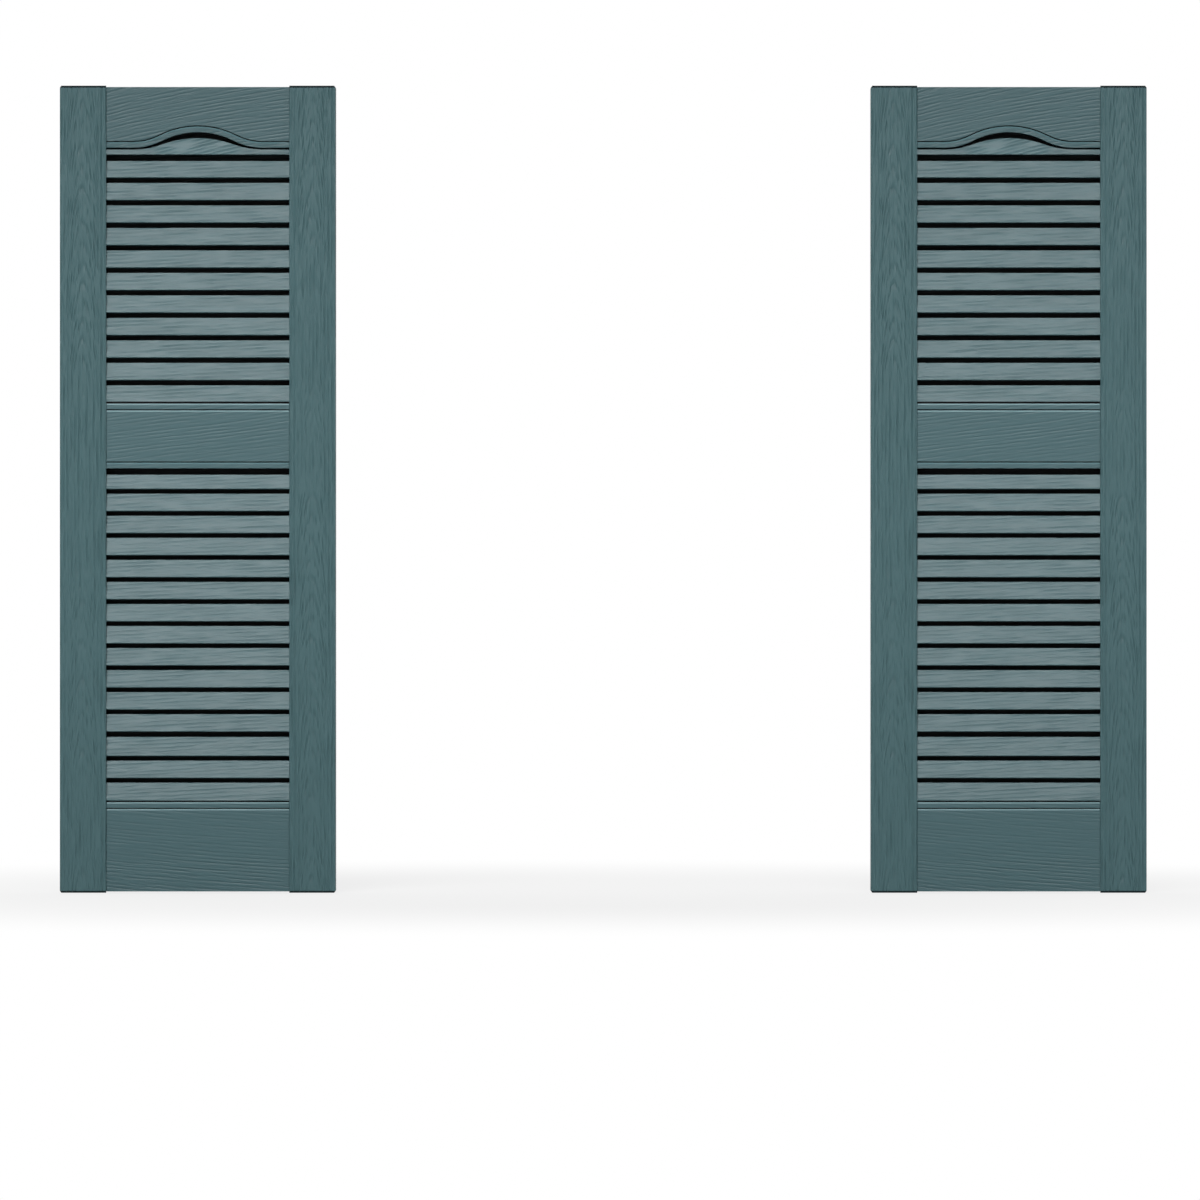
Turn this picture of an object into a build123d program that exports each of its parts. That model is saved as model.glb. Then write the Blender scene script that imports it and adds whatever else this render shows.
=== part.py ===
from build123d import *
import os
from collections import namedtuple
from math import atan, cos, sin

# A pair of louvred shutters with arched top rails, in millimetres.
# X runs across the pair, the front faces -Y, +Z is up. The origin is at the bottom centre of the pair.
# Each shutter is a moulded louvre panel held between two hollow stiles, whose ends are closed by caps.

# The pair
pair_gap = 718.2  # clear space between the two shutters
shutter_depth = 31.75  # from the stile's face to the wall

# Rails
bottom_rail_height = 122.0
mid_rail_height = 89.5
top_rail_height = 81.4  # at its ends, beside the arch

# The two fields of louvres, each louvre under a slot
upper_louvre_count = 11
lower_louvre_count = 15
louvre_height = 23.3  # of a louvre's face, apart from the first and last of a field
upper_slot_height = 6.9
lower_slot_height = 6.3
rail_slot_height = 8.7  # of a field's first slot
upper_first_louvre = 22.5
upper_last_louvre = 21.8
lower_first_louvre = 19.2
lower_last_louvre = 23.8
tall_louvre_place = 3  # of the one taller louvre in the lower field, counted from the bottom
tall_louvre_height = 25.5
tall_slot_height = 7.2  # of the slot above it
arched_louvre_height = 9.0  # of the part louvre under the arch, at its ends

# Louvres
slot_depth = 25.0
slot_draft = 0.4  # how much a slot closes at its back, above and below
louvre_setback = 6.5  # how far a louvre's face leans back over its height
louvre_edge_radius = 0.8

# The arch in the top rail: a crown and two shoulders, as tangent arcs
arch_rise = 21.0
arch_half_span = 87.0
arch_turn = 48.0  # from the centre to where the curve turns
slat_arch_rise = 15.6  # of the part louvre's own top edge
slat_arch_gap = 2.5  # between that edge and the rail, beside the arch

# Beads along the rails, each set off by a narrow deep groove whose lower side is a bevel
bead_width = 5.6
groove_gap = 1.5  # height of the groove's deep part
upper_foot_gap = 2.7  # the same, at the foot of the upper field of louvres
lower_foot_gap = 2.2
groove_depth = 4.0
groove_bevel_height = 2.0
groove_bevel_depth = 1.2

# Panel
panel_visible_width = 245.8
panel_wall = 2.4
panel_side_cover = 1.0  # of the louvres' ends, hidden behind each stile's lip
panel_overrun = 1.0  # how far the panel runs past the stiles at each end, beside the caps
seam_width = 0.9  # of the shadow line between each rail and the stiles' lips
seam_cover = 0.6  # of that line, hidden behind the lip
seam_depth = 1.2
rib_count = 2
rib_thickness = 2.0
tongue_reach = 7.0
tongue_thickness = 2.4

# Stiles
stile_width = 62.1
stile_wall = 2.2
stile_outer_radius = 0.8
stile_lip_radius = 0.9
stile_line_inset = 6.6  # of the fine line beside the stile's inner edge
stile_line_width = 1.4
stile_line_depth = 0.4
joint_clearance = 0.3

# Stile end caps
cap_plate = 2.7
cap_front_bevel = 0.7
cap_corner_slant = 2.0  # how far the plate's outer end slants in, seen from the front
plug_depth = 12.0
plug_wall = 1.8
plug_clearance = 0.25

# Worked out from the sizes above
front = -shutter_depth / 2
back = shutter_depth / 2
lean = louvre_setback / louvre_height
panel_front = front + stile_wall + joint_clearance
slot_back = panel_front + slot_depth
field_half_width = panel_visible_width / 2 + panel_side_cover
panel_half_width = field_half_width + panel_wall
shutter_width = panel_visible_width + 2 * stile_width

# Heights of the slots and louvres of each field, from the top down
upper_slots = [rail_slot_height] + [upper_slot_height] * (upper_louvre_count - 1)
upper_louvres = [upper_first_louvre] + [louvre_height] * (upper_louvre_count - 2) + [upper_last_louvre]
lower_slots = [rail_slot_height] + [lower_slot_height] * (lower_louvre_count - 1)
lower_louvres = [lower_first_louvre] + [louvre_height] * (lower_louvre_count - 2) + [lower_last_louvre]
lower_slots[-tall_louvre_place] = tall_slot_height
lower_louvres[-tall_louvre_place] = tall_louvre_height

panel_bottom = cap_plate - panel_overrun
lower_field_bottom = panel_bottom + bottom_rail_height
lower_field_top = lower_field_bottom + sum(lower_slots) + sum(lower_louvres)
upper_field_bottom = lower_field_top + mid_rail_height
upper_field_top = upper_field_bottom + sum(upper_slots) + sum(upper_louvres)
arch_base = upper_field_top + arched_louvre_height
panel_top = arch_base + top_rail_height
stile_height = panel_top - panel_bottom - 2 * panel_overrun

tongue_middle = (panel_front + back) / 2
groove_bottom = panel_front + groove_depth
bead_pitch = groove_gap + groove_bevel_height + bead_width
past = 5.0  # how far a cut runs past the faces it opens
close = 1e-4  # within which two places are the same

Louvre = namedtuple("Louvre", "slot_top top bottom")  # heights: its slot's top, its own top and its bottom


def face_yz(points):
    """A flat face in the YZ plane through the given (y, z) points."""
    return Plane.YZ * make_face(Polyline(*points, close=True))


def across(face, half_width):
    """A YZ face carried along X, as far to each side."""
    return extrude(face, amount=half_width, both=True)


def through(face, y_from, y_to):
    """A face drawn in XZ carried from one depth to another."""
    return Pos(0, y_to, 0) * extrude(Plane.XZ * face, amount=y_to - y_from)


def block(x_size, y_from, y_to, z_from, z_to, x_middle=0.0):
    """A box given by its width, its two depths and its two heights."""
    middle = (x_middle, (y_from + y_to) / 2, (z_from + z_to) / 2)
    return Pos(*middle) * Box(x_size, y_to - y_from, z_to - z_from)


def arch_line(rise, base, offset=0.0):
    """The arch as a wire in (x, z): level, shoulder arc, crown arc, shoulder arc, level.

    The arcs meet where the curve turns, and the whole curve may be offset upwards at an equal distance.
    """
    half_angle = atan(rise / arch_half_span)
    turn = 2 * half_angle
    crown_radius = arch_turn / sin(turn)
    shoulder_radius = (arch_half_span - arch_turn) / sin(turn)
    crown_centre = base + rise - crown_radius
    shoulder_centre = base + shoulder_radius
    outer_radius = crown_radius + offset
    inner_radius = shoulder_radius - offset

    def crown(angle):
        return (outer_radius * sin(angle), crown_centre + outer_radius * cos(angle))

    def shoulder(angle, side):
        x = side * (arch_half_span - inner_radius * sin(angle))
        return (x, shoulder_centre - inner_radius * cos(angle))

    level = base + offset
    half_width = panel_half_width + past
    return Wire(
        [
            Line((-half_width, level), shoulder(0, -1)),
            ThreePointArc(shoulder(0, -1), shoulder(half_angle, -1), crown(-turn)),
            ThreePointArc(crown(-turn), crown(0), crown(turn)),
            ThreePointArc(crown(turn), shoulder(half_angle, 1), shoulder(0, 1)),
            Line(shoulder(0, 1), (half_width, level)),
        ]
    )


def beside_arch(rise, base, limit, offset=0.0):
    """The flat face between the arch and a level line, above or below it."""
    curve = arch_line(rise, base, offset)
    start = curve @ 0
    end = curve @ 1
    sides = Polyline((end.X, end.Y), (end.X, limit), (start.X, limit), (start.X, start.Y))
    return make_face([*curve.edges(), *sides.edges()])


def field_louvres(field_top, slots, louvres):
    """A field's louvres, each under its slot, from the top down."""
    placed = []
    slot_top = field_top
    for slot, height in zip(slots, louvres):
        top = slot_top - slot
        placed.append(Louvre(slot_top, top, top - height))
        slot_top = top - height
    return placed


def louvre_field_cut(louvres):
    """All that is open in front of a field of louvres, slots and leaning faces in one profile."""
    field_top = louvres[0].slot_top
    points = [(panel_front - past, field_top), (panel_front, field_top)]
    for louvre in louvres:
        points += [
            (slot_back, louvre.slot_top - slot_draft),
            (slot_back, louvre.top + slot_draft),
            (panel_front + lean * (louvre.top - louvre.bottom), louvre.top),
            (panel_front, louvre.bottom),
        ]
    points.append((panel_front - past, louvres[-1].bottom))
    profile = make_face(Polyline(*points, close=True))
    lows = [louvre.bottom for louvre in louvres[:-1]]
    edges = profile.vertices().filter_by(lambda v: abs(v.X - panel_front) < close)
    rounded = [v for v in edges if any(abs(v.Y - low) < close for low in lows)]
    profile = fillet(rounded, louvre_edge_radius)
    return across(Plane.YZ * profile, field_half_width)


def louvre_pocket(top, bottom):
    """The hollow behind one louvre, a wall's thickness from its face, its shelf and its underside."""
    skin = panel_wall / cos(atan(lean))

    def face_y(z):
        return panel_front + lean * (z - bottom) + skin

    low = bottom + panel_wall
    high = top - panel_wall
    points = [(face_y(low), low), (face_y(high), high), (back + past, high), (back + past, low)]
    return across(face_yz(points), field_half_width)


def field_pockets(louvres):
    """The hollows behind a whole field of louvres."""
    return [louvre_pocket(louvre.top, louvre.bottom) for louvre in louvres]


def rail_pockets(bottom, top, plain_bottom, plain_top):
    """The hollow behind a straight rail: nearer its face where the rail is plain than behind its grooves."""
    width = 2 * field_half_width
    return [
        block(width, groove_bottom + panel_wall, back + past, bottom, top),
        block(width, panel_front + panel_wall, back + past, plain_bottom, plain_top),
    ]


def slot_recess(bottom, top):
    """The shallow space that leaves a wall's thickness behind a field's slots."""
    depths = (slot_back + panel_wall, back + past)
    return block(2 * field_half_width, *depths, bottom + panel_wall, top - panel_wall)


def arched_louvre_cut():
    """The opening under the arch: a leaning part louvre and the crescent slot above it."""
    crown = arch_base + arch_rise + panel_wall
    wedge = face_yz(
        [
            (panel_front - past, upper_field_top),
            (panel_front, upper_field_top),
            (panel_front + lean * (crown - upper_field_top), crown),
            (panel_front - past, crown),
        ]
    )
    under_rail = through(beside_arch(arch_rise, arch_base, upper_field_top - past), front - past, back)
    slat_top = beside_arch(slat_arch_rise, arch_base - slat_arch_gap, panel_top)
    above_slat = through(slat_top, front - past, slot_back)
    field = block(2 * field_half_width, front - past, back, upper_field_top, panel_top)
    return (across(wedge, field_half_width) + above_slat) & under_rail & field


def arched_louvre_pocket():
    """The hollow behind the part louvre, under its own arched edge."""
    top = arch_base + arch_rise
    below = beside_arch(slat_arch_rise, arch_base - slat_arch_gap, upper_field_bottom, -panel_wall)
    return louvre_pocket(top, upper_field_top) & through(below, front, back + past)


def arched_rail_pockets():
    """The hollow behind the top rail, nearer its face above the groove than behind it."""
    limit = panel_top - panel_wall
    behind_groove = beside_arch(arch_rise, arch_base, limit, panel_wall)
    above_groove = beside_arch(arch_rise, arch_base, limit, bead_pitch + panel_wall)
    return [
        through(behind_groove, groove_bottom + panel_wall, back + past),
        through(above_groove, panel_front + panel_wall, back + past),
    ]


def rear_bays():
    """The spaces between the side walls and the upright ribs, which the hollows keep to."""
    bay = (2 * field_half_width - rib_count * rib_thickness) / (rib_count + 1)
    bays = []
    for k in range(rib_count + 1):
        middle = -field_half_width + bay / 2 + k * (bay + rib_thickness)
        bays.append(block(bay, front, back + past, panel_bottom, panel_top, middle))
    return Compound(bays)


def groove_points(top, gap):
    """A groove's outline in (y, z): a deep part under its top edge, then the bevel out to the face."""
    return [
        (panel_front, top),
        (groove_bottom, top),
        (groove_bottom, top - gap),
        (panel_front + groove_bevel_depth, top - gap),
        (panel_front, top - gap - groove_bevel_height),
    ]


def straight_groove(top, gap):
    """A groove across the panel's front."""
    points = groove_points(top, gap)
    mouth = [(panel_front - past, points[-1][1]), (panel_front - past, top)]
    return across(face_yz(points + mouth), panel_half_width + past)


def arched_groove():
    """The groove above the arch's bead, swept along the arch."""
    path = Pos(0, panel_front, 0) * (Plane.XZ * arch_line(arch_rise, arch_base, bead_width))
    start = path @ 0
    section = Pos(start.X, 0, 0) * face_yz(groove_points(arch_base + bead_pitch, groove_gap))
    return sweep(section, path=path)


def field_foot_grooves(field_bottom, foot_gap):
    """The two grooves at the head of a rail, under the last louvre of a field."""
    second = field_bottom - foot_gap - groove_bevel_height - bead_width
    return [straight_groove(field_bottom, foot_gap), straight_groove(second, groove_gap)]


def side_seams(low, high):
    """The shadow lines at both ends of a rail, beside the stiles' lips."""
    inner = panel_visible_width / 2 - seam_width
    outer = panel_visible_width / 2 + seam_cover
    middle = (inner + outer) / 2
    depths = (panel_front - past, panel_front + seam_depth)
    return [block(outer - inner, *depths, low, high, side * middle) for side in (-1, 1)]


def louvre_panel():
    """The one-piece moulding between the stiles."""
    solid = block(2 * panel_half_width, panel_front, back, panel_bottom, panel_top)
    tongue_half = tongue_thickness / 2
    tongue_width = 2 * (panel_half_width + tongue_reach)
    tongue_ends = (panel_bottom + panel_overrun, panel_top - panel_overrun)
    solid += block(tongue_width, tongue_middle - tongue_half, tongue_middle + tongue_half, *tongue_ends)

    upper_field = field_louvres(upper_field_top, upper_slots, upper_louvres)
    lower_field = field_louvres(lower_field_top, lower_slots, lower_louvres)
    for cut in (louvre_field_cut(upper_field), louvre_field_cut(lower_field), arched_louvre_cut()):
        solid -= cut

    pockets = field_pockets(upper_field) + field_pockets(lower_field)
    head = groove_bevel_height + bead_pitch + panel_wall
    rail_bottom = panel_bottom + panel_wall
    plain_top = lower_field_bottom - lower_foot_gap - head
    pockets += rail_pockets(rail_bottom, lower_field_bottom, rail_bottom, plain_top)
    plain_bottom = lower_field_top + bead_pitch + panel_wall
    plain_top = upper_field_bottom - upper_foot_gap - head
    pockets += rail_pockets(lower_field_top + panel_wall, upper_field_bottom, plain_bottom, plain_top)
    pockets += [arched_louvre_pocket(), *arched_rail_pockets()]
    pockets += [slot_recess(upper_field_bottom, arch_base), slot_recess(lower_field_bottom, lower_field_top)]
    bays = rear_bays()
    for pocket in pockets:
        solid -= pocket & bays

    grooves = field_foot_grooves(lower_field_bottom, lower_foot_gap)
    grooves += field_foot_grooves(upper_field_bottom, upper_foot_gap)
    grooves += [straight_groove(lower_field_top + bead_pitch, groove_gap), arched_groove()]
    seams = side_seams(panel_bottom - past, lower_field_bottom)
    seams += side_seams(lower_field_top, upper_field_bottom)
    seams += side_seams(arch_base, panel_top + past)
    for cut in grooves + seams:
        solid -= cut
    return solid


def stile_levels():
    """The stile's section in its own x: 0 at the outer edge, growing towards the panel."""
    inner_wall = stile_width - (panel_half_width - panel_visible_width / 2) - joint_clearance
    groove_end = inner_wall - tongue_reach - joint_clearance
    return inner_wall, groove_end


def stile_outline():
    """The outside of the stile's section, with its lip in front of the panel and its rounded outer edge."""
    inner_wall = stile_levels()[0]
    lip_back = front + stile_wall
    face = [(0, front), (stile_width, front), (stile_width, lip_back)]
    rest = [(inner_wall, lip_back), (inner_wall, back), (0, back)]
    outline = make_face(Polyline(*face, *rest, close=True))
    near = outline.vertices().group_by(Axis.Y)[0].sort_by(Axis.X)
    return fillet(near[0], stile_outer_radius)


def stile_cavity():
    """The main hollow of the stile's section, between its outer side and the web behind the groove."""
    groove_end = stile_levels()[1]
    width = groove_end - 2 * stile_wall
    depth = shutter_depth - 2 * stile_wall
    return Pos(stile_wall + width / 2, 0) * Rectangle(width, depth)


def stile_section():
    """The extruded section: three hollows, the groove for the tongue and the fine line on the face."""
    inner_wall, groove_end = stile_levels()
    groove_half = tongue_thickness / 2 + joint_clearance
    outline = stile_outline()
    lip = outline.vertices().group_by(Axis.X)[-1].sort_by(Axis.Y)[0]
    section = fillet(lip, stile_lip_radius) - stile_cavity()
    tongue_room = inner_wall - groove_end
    section -= Pos(groove_end + tongue_room / 2, tongue_middle) * Rectangle(tongue_room, 2 * groove_half)
    hollow_width = inner_wall - groove_end - stile_wall
    hollow_x = groove_end + hollow_width / 2
    for near, far in (
        (front + stile_wall, tongue_middle - groove_half - stile_wall),
        (tongue_middle + groove_half + stile_wall, back - stile_wall),
    ):
        section -= Pos(hollow_x, (near + far) / 2) * Rectangle(hollow_width, far - near)
    line_x = stile_width - stile_line_inset
    half = stile_line_width / 2
    notch = [(line_x - half, front), (line_x, front + stile_line_depth), (line_x + half, front)]
    return section - make_face(Polyline(*notch, close=True))


def stile():
    """One stile, with its outer edge at x = 0 and the panel towards +X."""
    return Pos(0, 0, cap_plate) * extrude(stile_section(), amount=stile_height)


def end_cap():
    """A bottom cap: the stile's outline as a plate, bevelled in front and slanted at its end, and a plug."""
    plate = extrude(stile_outline(), amount=cap_plate)
    bevel = face_yz([(front, 0), (front + cap_front_bevel, 0), (front, cap_front_bevel)])
    plate -= across(bevel, stile_width + past)
    slant = make_face(Polyline((0, 0), (cap_corner_slant, 0), (0, cap_plate), close=True))
    plate -= through(slant, front - past, back + past)
    wide = offset(stile_cavity(), amount=-plug_clearance, kind=Kind.INTERSECTION)
    narrow = offset(stile_cavity(), amount=-plug_clearance - plug_wall, kind=Kind.INTERSECTION)
    plug = extrude(wide - narrow, amount=plug_depth + cap_plate / 2)
    return plate + Pos(0, 0, cap_plate / 2) * plug


def shutter_pieces():
    """The pieces of one shutter, centred on x = 0, by name."""
    pieces = {"louvre_panel": louvre_panel()}
    left_stile = Pos(-shutter_width / 2, 0, 0) * stile()
    low_cap = Pos(-shutter_width / 2, 0, 0) * end_cap()
    mid_height = Plane.XY.offset(cap_plate + stile_height / 2)
    high_cap = mirror(low_cap, about=mid_height)
    for name, piece in (("stile", left_stile), ("bottom_cap", low_cap), ("top_cap", high_cap)):
        pieces[f"left_{name}"] = piece
        pieces[f"right_{name}"] = mirror(piece, about=Plane.YZ)
    return pieces


os.makedirs("parts", exist_ok=True)
pair_offset = (pair_gap + shutter_width) / 2
pieces = shutter_pieces()
for side, x in (("left_shutter", -pair_offset), ("right_shutter", pair_offset)):
    for name, piece in pieces.items():
        export_step(Pos(x, 0, 0) * piece, f"parts/{side}_{name}.step")
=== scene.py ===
import math

import bpy
from mathutils import Euler, Matrix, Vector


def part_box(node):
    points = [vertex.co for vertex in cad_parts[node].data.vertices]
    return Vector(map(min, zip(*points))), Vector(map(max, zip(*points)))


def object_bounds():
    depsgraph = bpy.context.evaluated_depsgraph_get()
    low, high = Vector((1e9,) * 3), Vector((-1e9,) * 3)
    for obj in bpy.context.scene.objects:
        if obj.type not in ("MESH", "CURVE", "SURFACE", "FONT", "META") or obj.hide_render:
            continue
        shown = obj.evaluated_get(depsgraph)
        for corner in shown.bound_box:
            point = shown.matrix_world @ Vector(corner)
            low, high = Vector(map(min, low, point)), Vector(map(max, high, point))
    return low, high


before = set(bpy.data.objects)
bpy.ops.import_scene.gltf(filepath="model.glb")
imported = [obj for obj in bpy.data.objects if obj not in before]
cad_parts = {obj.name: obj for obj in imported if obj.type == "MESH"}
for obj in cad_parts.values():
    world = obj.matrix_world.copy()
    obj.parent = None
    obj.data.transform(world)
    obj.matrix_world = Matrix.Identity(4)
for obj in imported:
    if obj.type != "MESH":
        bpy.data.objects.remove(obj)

# A pair of louvred plastic shutters with an embossed wood grain, in metres.
CAD_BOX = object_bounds()

# The photograph's frame: it is square, and each of its pixels is this wide at the shutters' faces.
PHOTO_SIDE = 1200
METRES_PER_PIXEL = 0.0013417
OBJECT_MIDDLE_PX = (603.25, 489.2)
CAMERA_DISTANCE = 14.0
SENSOR = 36.0
FAR_CLIP = 100.0

# Finishes, as linear colours
STILE_COLOUR = (0.056, 0.121, 0.132)
PANEL_COLOUR = (0.056, 0.118, 0.131)
CAP_COLOUR = (0.005, 0.014, 0.017)
PLASTIC_ROUGHNESS = 0.45
GRAIN_ROUGHNESS = 0.05
PLASTIC_SPECULAR = 0.38
CAP_ROUGHNESS = 0.6
CAP_SPECULAR = 0.15
CAP_GRIT_DEPTH = 0.0001

# From here on, a name that ends in STEP is a soft step: the value half way up it, and its width. A name that
# ends in CELLS is how many noise cells there are in a metre, in each of the two directions.

# Heights on the panel, where the grain or its tone changes
FINE_GRAIN_STEP = (0.045, 0.03)
BOTTOM_RAIL_TOP = 0.1237
MID_RAIL_BOTTOM = 0.5696
MID_RAIL_MIDDLE_STEP = (0.6144, 0.02)
MID_RAIL_TOP = 0.6591
FIRST_SLOT_MIDDLE = 0.9890
TOP_RAIL_BOTTOM = 0.9998
HEIGHT_CHANGE = 0.004

# Depths on the panel
PANEL_FRONT = -0.013375
BEVEL_DEPTH = 0.0012
FLOOR_DEPTH_STEP = (0.003, 0.001)

# Which way a face looks: steps in how far its own normal points backwards (the first two) or upwards
BACK_STEP = (0.7, 0.4)
FRONT_STEP = (-0.985, 0.02)
LOUVRE_STEP = (0.14, 0.1)
BEVEL_STEP = (0.42, 0.1)
LEDGE_STEP = (0.75, 0.1)

# The embossed growth lines, their dashes and calm places, and the pores between them
RING_PITCH = 0.0050
RING_BEND = 0.007
RING_SHARPNESS = 1.8
BEND_CELLS = (26.0, 6.0)
DASH_WIDTH = RING_PITCH / 0.9
DASH_LENGTH = 0.050
DASH_STEP = (0.47, 0.36)
CALM_CELLS = (20.0, 8.0)
CALM_STEP = (0.42, 0.36)
CALM_DEPTH = 0.5
PORE_PITCH = 0.0024
PORE_LENGTH = 0.020
PORE_STEP = (0.56, 0.20)
PORE_DEPTH = 0.4
BACK_SMOOTHING = 0.9

# The stiles: arches, in turns per square metre away from the axis and turns per metre up it, in patches
ARCH_TURNS = 11000.0
ARCH_RISE = 36.0
ARCH_WAVER = 5.0
ARCH_DEPTH = 0.8
ARCH_DASH_CELLS = (300.0, 30.0)
ARCH_DASH_STEP = (0.50, 0.20)
PATCH_CELLS = (4.0, 4.0)
PATCH_STEP = (0.46, 0.14)
PATCH_SQUARED_REACH_STEP = (0.00036, 0.0004)
PATCH_THINNING = 0.6
TOP_PATCH_STEP = (0.96, 0.08)
STILE_CLOUD_CELLS = (12.0, 3.0)
STILE_CLOUD_SHARE = 0.10
STILE_TONE = 1.04
STILE_LINE_SHADE = 0.14
STILE_EMBOSS = 0.0009

# The panel: each row is the amount on the louvres, then what the top, middle and bottom rails add to it
GRAIN_SLOPE = (0.05, 0.14, 0.08, -0.13)
GRAIN_BEND = (0.0, -0.30, 0.10, 0.10)
GRAIN_SHARE = (1.15, -0.05, -0.40, 0.15)
CLOUD_SHARE = (0.26, -0.18, -0.18, -0.18)
PANEL_TONE = (1.02, -0.08, 0.0, -0.03)
PANEL_CLOUD_CELLS = (9.0, 60.0)
PANEL_LINE_SHADE = 0.08
PANEL_EMBOSS = 0.00024
FINE_GRAIN_THINNING = 0.62

# The grooves and slots: the lips' bump, a painted highlight on the lower bevels and painted shade on the deep
# floors
LIP_LIFT = 2.6
BEVEL_PAINTED_HIGHLIGHT = 0.35
HEAD_BEVEL_PAINTED_HIGHLIGHT = 0.30
DEEP_FLOOR_PAINTED_SHADE = 0.94

# The part louvre under the arch: a little darker in tone, with a painted sheen and steep strokes of its own
# below the crown
UNDER_ARCH_SHADE = 0.10
CROWN_PAINTED_SHEEN = 0.26
CROWN_THINNING = 0.6
CROWN_SQUARED_REACH_STEP = (0.0032, 0.0028)
STROKE_SLOPE = 0.25
STROKE_TURNS = 215.0
STROKE_WAVER = 0.9
STROKE_SHARPNESS = 1.6
STROKE_CELLS = (26.0, 190.0)
STROKE_STEP = (0.46, 0.24)
STROKE_DEPTH = 2.2

# The light
KEY_AZIMUTH = math.radians(-6)
KEY_ELEVATION = math.radians(32)
KEY_ROLL = math.atan(-math.sin(KEY_ELEVATION) * math.tan(KEY_AZIMUTH))
KEY_DISTANCE = 4.0
KEY_SIZE = (4.0, 1.6)
KEY_SPREAD = math.radians(40)
KEY_AIM = 0.585
KEY_POWER = 24.6
WORLD_LEVEL = 0.05
BACK_LEVEL = 0.65
WORLD_BACK_STEP = (0.0, 0.4)

# The floor
FLOOR_SIZE = 60.0
FLOOR_GAP = 0.0005
FLOOR_GREY = 0.6
FLOOR_BACK_STEP = (0.1, 0.2)
NEAR_WHITE = 0.78
FAR_WHITE_STEP = (1.2, 1.4)


class Value:
    """A shader socket that works in Python sums: each operator adds a Math node."""

    def __init__(self, tree, socket=None):
        self.tree = tree
        self.socket = socket

    def node(self, kind, inputs=(), output=0, **settings):
        """Adds any node. Its settings are set first, then its sockets get values or links."""
        made = self.tree.nodes.new(kind)
        for name, value in settings.items():
            setattr(made, name, value)
        for key, value in dict(inputs).items():
            if isinstance(value, Value):
                self.tree.links.new(value.socket, made.inputs[key])
            else:
                made.inputs[key].default_value = value
        return Value(self.tree, made.outputs[output] if made.outputs else None)

    def math(self, operation, *others):
        """One Math node with this value first."""
        inputs = dict(enumerate((self, *others)))
        return self.node("ShaderNodeMath", inputs, operation=operation)

    def __add__(self, other):
        return self.math("ADD", other)

    def __sub__(self, other):
        return self.math("SUBTRACT", other)

    def __mul__(self, other):
        return self.math("MULTIPLY", other)

    def __rsub__(self, other):
        return self * -1.0 + other

    __radd__ = __add__
    __rmul__ = __mul__

    def axis(self, number):
        """The x, y or z of a vector: number 0, 1 or 2."""
        return self.node("ShaderNodeSeparateXYZ", {0: self}, output=number)

    def wave(self):
        """A sine of this value in turns, between 0 and 1."""
        return (self * (2 * math.pi)).math("SINE") * 0.5 + 0.5

    def clamped(self):
        """This value held between 0 and 1."""
        return self.node("ShaderNodeClamp", {"Value": self})

    def step(self, edge, width):
        """A soft step from 0 to 1 as this value passes an edge."""
        inputs = {"Value": self, "From Min": edge - width / 2, "From Max": edge + width / 2}
        return self.node("ShaderNodeMapRange", inputs, interpolation_type="SMOOTHSTEP")


def vector(x, y, z):
    """Three values, or values and numbers, as one vector."""
    return x.node("ShaderNodeCombineXYZ", {"X": x, "Y": y, "Z": z})


def noise(place, detail, roughness=0.5):
    """Noise about 0.5 at a place in cells."""
    inputs = {"Vector": place, "Scale": 1.0, "Detail": detail, "Roughness": roughness}
    return place.node("ShaderNodeTexNoise", inputs)


def cells(first, second, per_metre, seed):
    """A place in cells from two distances in metres. Each seed gives a noise of its own."""
    return vector(first * per_metre[0], second * per_metre[1], seed)


def shade(colour, amount):
    """A flat colour made lighter or darker by a varying amount about 1."""
    return amount.node("ShaderNodeVectorMath", {0: colour, "Scale": amount}, operation="SCALE")


def new_material(name):
    """An empty material and the start of its shader sums: its own x, y and z."""
    material = bpy.data.materials.new(name)
    material.use_nodes = True
    material.node_tree.nodes.clear()
    place = Value(material.node_tree).node("ShaderNodeTexCoord", output="Object")
    return material, [place.axis(k) for k in range(3)]


def finish_plastic(material, colour, roughness, height, depth, specular=PLASTIC_SPECULAR):
    """Ends a material in one plastic shader with an embossed surface."""
    start = Value(material.node_tree)
    bump = start.node("ShaderNodeBump", {"Strength": 1.0, "Distance": depth, "Height": height})
    inputs = {"Base Color": colour, "Roughness": roughness, "Specular IOR Level": specular, "Normal": bump}
    shader = start.node("ShaderNodeBsdfPrincipled", inputs)
    start.node("ShaderNodeOutputMaterial", {"Surface": shader})


def plastic_with_grain(material, colour, tone, lines, height, emboss):
    """The moulded plastic: one colour with a slightly varying tone, and a grain that dulls it a little."""
    roughness = PLASTIC_ROUGHNESS + lines * GRAIN_ROUGHNESS
    finish_plastic(material, shade(colour, tone), roughness, height, emboss)


def facing(x):
    """How far the surface's own normal, before any bump, points backwards and upwards."""
    normal = x.node("ShaderNodeTexCoord", output="Normal")
    return normal.axis(1), normal.axis(2)


def away_from_back(backwards):
    """The grain's share of its full depth: all of it on the front and sides, nearly none on the back."""
    return 1.0 - backwards.step(*BACK_STEP) * BACK_SMOOTHING


def same_on_both(x, middle):
    """The place across one shutter, so that both shutters carry the same grain."""
    return x - x.math("SIGN") * middle


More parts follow.
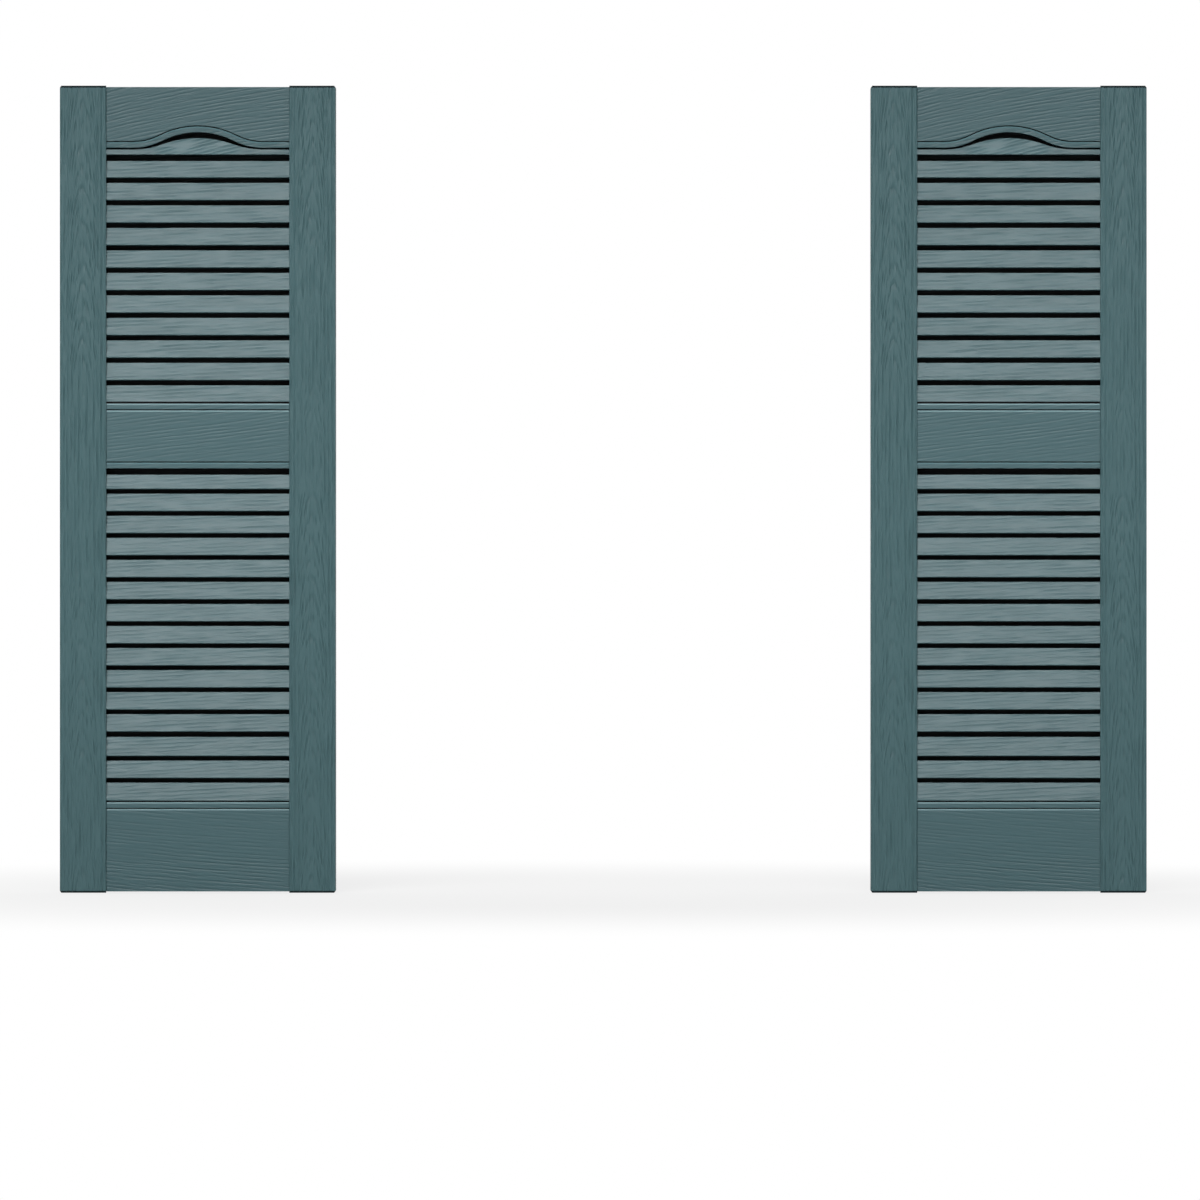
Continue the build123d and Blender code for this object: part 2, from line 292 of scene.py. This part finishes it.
def grain_lines(across, along, seed):
    """The grain's depth, 0 on the face and 1 at the foot of a line.

    The growth lines are the sharpened crests of a sine of the distance across the grain, which slow noise
    bends. A second noise, about as wide as a line and drawn out along it, breaks each line into dashes, and a
    third leaves calm places. Between the lines lie short fine pores.
    """
    slow = noise(cells(across, along, BEND_CELLS, seed), 2.0) - 0.5
    bent = across + slow * RING_BEND
    rings = (bent * (1 / RING_PITCH)).wave().math("POWER", RING_SHARPNESS)
    dash_cells = (1 / DASH_WIDTH, 1 / DASH_LENGTH)
    dashes = noise(cells(bent, along, dash_cells, seed + 11.0), 1.0).step(*DASH_STEP)
    calm = noise(cells(across, along, CALM_CELLS, seed + 17.0), 1.0).step(*CALM_STEP)
    pore_cells = (1 / PORE_PITCH, 1 / PORE_LENGTH)
    pores = noise(cells(bent, along, pore_cells, seed + 5.0), 2.0, 0.6).step(*PORE_STEP)
    return rings * dashes * (calm * (1 - CALM_DEPTH) + CALM_DEPTH) + pores * PORE_DEPTH


def stile_arches(u, z, from_axis, clouds):
    """Pointed arches: crests of a sine of the height plus the squared distance from the axis, in dashes."""
    turns = from_axis * from_axis * ARCH_TURNS + z * ARCH_RISE + clouds * ARCH_WAVER
    dashes = noise(cells(u, z, ARCH_DASH_CELLS, 21.0), 1.0).step(*ARCH_DASH_STEP)
    return turns.wave().math("POWER", 2.0) * dashes * ARCH_DEPTH


def stile_material(middle, axis):
    """Upright grain, with patches of arches along the stile's axis, as on a flat-sawn board."""
    material, (x, _, z) = new_material("stile_grain")
    u = same_on_both(x, middle)
    from_axis = u - u.math("SIGN") * axis
    backwards, _ = facing(x)
    clouds = noise(cells(u, z, STILE_CLOUD_CELLS, 3.0), 2.0) - 0.5

    near_axis = 1.0 - (from_axis * from_axis).step(*PATCH_SQUARED_REACH_STEP)
    scattered = noise(cells(u, z, PATCH_CELLS, 8.0), 1.0).step(*PATCH_STEP)
    patches = scattered.math("MAXIMUM", z.step(*TOP_PATCH_STEP)) * near_axis

    upright = grain_lines(u, z, 1.7) * (1.0 - patches * PATCH_THINNING)
    lines = (upright + stile_arches(u, z, from_axis, clouds) * patches) * away_from_back(backwards)
    tone = STILE_TONE + clouds * STILE_CLOUD_SHARE - lines * STILE_LINE_SHADE
    plastic_with_grain(material, STILE_COLOUR, tone, lines, lines * -1.0, STILE_EMBOSS)
    return material


def on_rails(z):
    """Three values that are 1 on the top, the middle and the bottom rail, and 0 elsewhere."""
    top = z.step(TOP_RAIL_BOTTOM, HEIGHT_CHANGE)
    middle = z.step(MID_RAIL_BOTTOM, HEIGHT_CHANGE) * (1.0 - z.step(MID_RAIL_TOP, HEIGHT_CHANGE))
    bottom = 1.0 - z.step(BOTTOM_RAIL_TOP, HEIGHT_CHANGE)
    return top, middle, bottom


def by_rail(row, rails):
    """The amount at a place: the row's first number, and what each rail adds to it."""
    total, *added = row
    for rail, amount in zip(rails, added):
        total = total + rail * amount
    return total


def crown_strokes(u, z, clouds):
    """The part louvre's strokes: crests of a sine across a steep slope, broken off by a second noise."""
    raked = z - u * STROKE_SLOPE
    broken = noise(cells(u, raked, STROKE_CELLS, 31.0), 1.0).step(*STROKE_STEP)
    turns = raked * STROKE_TURNS + clouds * STROKE_WAVER
    return turns.wave().math("POWER", STROKE_SHARPNESS) * broken * STROKE_DEPTH


def panel_material(middle):
    """Lying grain that runs its own way on each rail, with a painted highlight on the bevels and painted
    shade on the floors of the grooves and slots.
    """
    material, (x, y, z) = new_material("panel_grain")
    u = same_on_both(x, middle)
    depth = y - PANEL_FRONT
    backwards, upwards = facing(x)
    rails = on_rails(z)
    _, on_middle, on_bottom = rails
    across = z - u * by_rail(GRAIN_SLOPE, rails) - u * u * by_rail(GRAIN_BEND, rails)
    clouds = noise(cells(u, across, PANEL_CLOUD_CELLS, 5.0), 2.0) - 0.5

    # Kinds of face: lower bevels, which get a painted highlight; floors of grooves and slots, which get
    # painted shade; and the part louvre with its middle.
    painted_highlight_bevels = upwards.step(*BEVEL_STEP) * (1.0 - upwards.step(*LEDGE_STEP))
    painted_shade_floors = (1.0 - backwards.step(*FRONT_STEP)) * depth.step(*FLOOR_DEPTH_STEP)
    louvre_faces = upwards.step(*LOUVRE_STEP) * (1.0 - upwards.step(*BEVEL_STEP))
    under_arch = louvre_faces * z.step(FIRST_SLOT_MIDDLE, HEIGHT_CHANGE)
    under_crown = under_arch * (1.0 - (u * u).step(*CROWN_SQUARED_REACH_STEP))

    # The grain thins out on the upper part of the bottom rail, below the crown and on the back.
    fine = on_bottom * z.step(*FINE_GRAIN_STEP) * FINE_GRAIN_THINNING
    share = (by_rail(GRAIN_SHARE, rails) - fine) * (1.0 - under_crown * CROWN_THINNING)
    lines = grain_lines(across, u, 4.2) * share * away_from_back(backwards)
    lines = lines + crown_strokes(u, z, clouds) * under_crown

    # The lips of the grooves at the heads of the middle and bottom rails catch the light.
    head_grooves = on_middle * z.step(*MID_RAIL_MIDDLE_STEP) + on_bottom
    lips = (depth * (1 / BEVEL_DEPTH)).clamped() * head_grooves * LIP_LIFT

    # The part louvre is a little darker in tone, and lighter below the crown, where the lightening is a
    # painted sheen.
    tone = by_rail(PANEL_TONE, rails) - under_arch * UNDER_ARCH_SHADE + under_crown * CROWN_PAINTED_SHEEN
    tone = tone + clouds * by_rail(CLOUD_SHARE, rails) - lines * PANEL_LINE_SHADE
    # Painted highlight on the bevels, stronger at the heads of the middle and bottom rails, and painted shade
    # on the deep floors of the grooves and slots.
    tone = tone * (1.0 + painted_highlight_bevels * (BEVEL_PAINTED_HIGHLIGHT + head_grooves * HEAD_BEVEL_PAINTED_HIGHLIGHT) - painted_shade_floors * DEEP_FLOOR_PAINTED_SHADE)
    plastic_with_grain(material, PANEL_COLOUR, tone, lines, lips - lines, PANEL_EMBOSS)
    return material


def cap_material():
    """A darker plain moulding with a fine matt texture."""
    material, (x, y, z) = new_material("cap_plastic")
    grit = noise(vector(x * 900.0, y * 900.0, z * 900.0), 2.0)
    cloud = noise(vector(x * 40.0, y * 40.0, z * 40.0), 2.0)
    colour = shade(CAP_COLOUR, 0.9 + cloud * 0.2)
    finish_plastic(material, colour, CAP_ROUGHNESS + grit * 0.1, grit, CAP_GRIT_DEPTH, CAP_SPECULAR)
    return material


def shows_background(behind):
    """1 for rays that show the background: the camera's, and those of gloss and glass that look behind."""
    camera = behind.node("ShaderNodeLightPath", output="Is Camera Ray")
    glossy = behind.node("ShaderNodeLightPath", output="Is Glossy Ray")
    through = behind.node("ShaderNodeLightPath", output="Is Transmission Ray")
    return camera.math("MAXIMUM", glossy.math("MAXIMUM", through) * behind)


def make_world():
    """White where it is seen as the background; elsewhere a dim even light, and more of it from behind."""
    world = bpy.data.worlds.new("studio")
    bpy.context.scene.world = world
    world.use_nodes = True
    world.node_tree.nodes.clear()
    start = Value(world.node_tree)
    behind = start.node("ShaderNodeTexCoord", output="Generated").axis(1).step(*WORLD_BACK_STEP)
    shown = shows_background(behind)
    level = shown + (1.0 - shown) * (behind * BACK_LEVEL + WORLD_LEVEL)
    background = start.node("ShaderNodeBackground", {"Color": (1, 1, 1, 1), "Strength": level})
    start.node("ShaderNodeOutputWorld", {"Surface": background})


def make_floor():
    """A wide pale floor that runs into the white background and keeps the shutters' shadow."""
    bpy.ops.mesh.primitive_plane_add(size=FLOOR_SIZE, location=(0, 0, CAD_BOX[0][2] - FLOOR_GAP))
    floor = bpy.context.object
    floor.name = "floor"
    material, (x, y, _) = new_material("pale_floor")
    start = Value(material.node_tree)
    radius = (x * x + y * y).math("SQRT")
    white = NEAR_WHITE + radius.step(*FAR_WHITE_STEP) * (1 - NEAR_WHITE)
    share = shows_background(y.step(*FLOOR_BACK_STEP)) * white
    paint = start.node("ShaderNodeBsdfDiffuse", {"Color": (FLOOR_GREY, FLOOR_GREY, FLOOR_GREY, 1)})
    glow = start.node("ShaderNodeEmission", {"Color": (1, 1, 1, 1), "Strength": 1.0})
    mixed = start.node("ShaderNodeMixShader", {0: share, 1: paint, 2: glow})
    start.node("ShaderNodeOutputMaterial", {"Surface": mixed})
    floor.data.materials.append(material)


def make_key():
    """A wide soft lamp up in front, a little to the left, with a limited spread.

    It is rolled about its own axis until its short sides stand upright, seen from the front, so that it
    lights both shutters alike.
    """
    lamp = bpy.data.lights.new("key", "AREA")
    lamp.shape = "RECTANGLE"
    lamp.size = KEY_SIZE[0]
    lamp.size_y = KEY_SIZE[1]
    lamp.energy = KEY_POWER
    lamp.spread = KEY_SPREAD
    holder = bpy.data.objects.new("key", lamp)
    level = KEY_DISTANCE * math.cos(KEY_ELEVATION)
    rise = KEY_DISTANCE * math.sin(KEY_ELEVATION)
    holder.location = (level * math.sin(KEY_AZIMUTH), -level * math.cos(KEY_AZIMUTH), KEY_AIM + rise)
    aim = Euler((math.pi / 2 - KEY_ELEVATION, 0, KEY_AZIMUTH)).to_matrix()
    holder.rotation_euler = (aim @ Matrix.Rotation(KEY_ROLL, 3, "Z")).to_euler()
    bpy.context.collection.objects.link(holder)


def make_camera():
    """A long lens level with the shutters, framing them as the photograph does."""
    low, high = CAD_BOX
    middle = [(a + b) / 2 for a, b in zip(low, high)]
    camera = bpy.data.cameras.new("camera")
    camera.sensor_width = SENSOR
    camera.lens = SENSOR * CAMERA_DISTANCE / (PHOTO_SIDE * METRES_PER_PIXEL)
    camera.clip_end = FAR_CLIP
    holder = bpy.data.objects.new("camera", camera)
    right = (PHOTO_SIDE / 2 - OBJECT_MIDDLE_PX[0]) * METRES_PER_PIXEL
    down = (PHOTO_SIDE / 2 - OBJECT_MIDDLE_PX[1]) * METRES_PER_PIXEL
    holder.location = (middle[0] + right, low[1] - CAMERA_DISTANCE, middle[2] - down)
    holder.rotation_euler = (math.pi / 2, 0, 0)
    bpy.context.collection.objects.link(holder)
    bpy.context.scene.camera = holder


def middle_of(name):
    """The middle of a CAD node's box, across the pair."""
    low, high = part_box(name)
    return (low[0] + high[0]) / 2


def dress():
    """Gives every CAD node its finish."""
    middle = middle_of("right_shutter_louvre_panel")
    finishes = {
        "stile": stile_material(middle, middle_of("right_shutter_right_stile") - middle),
        "panel": panel_material(middle),
        "cap": cap_material(),
    }
    for name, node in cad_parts.items():
        node.data.materials.clear()
        node.data.materials.append(finishes[name.split("_")[-1]])


make_camera()
make_world()
make_floor()
make_key()
dress()

bpy.context.scene.view_settings.view_transform = "Standard"
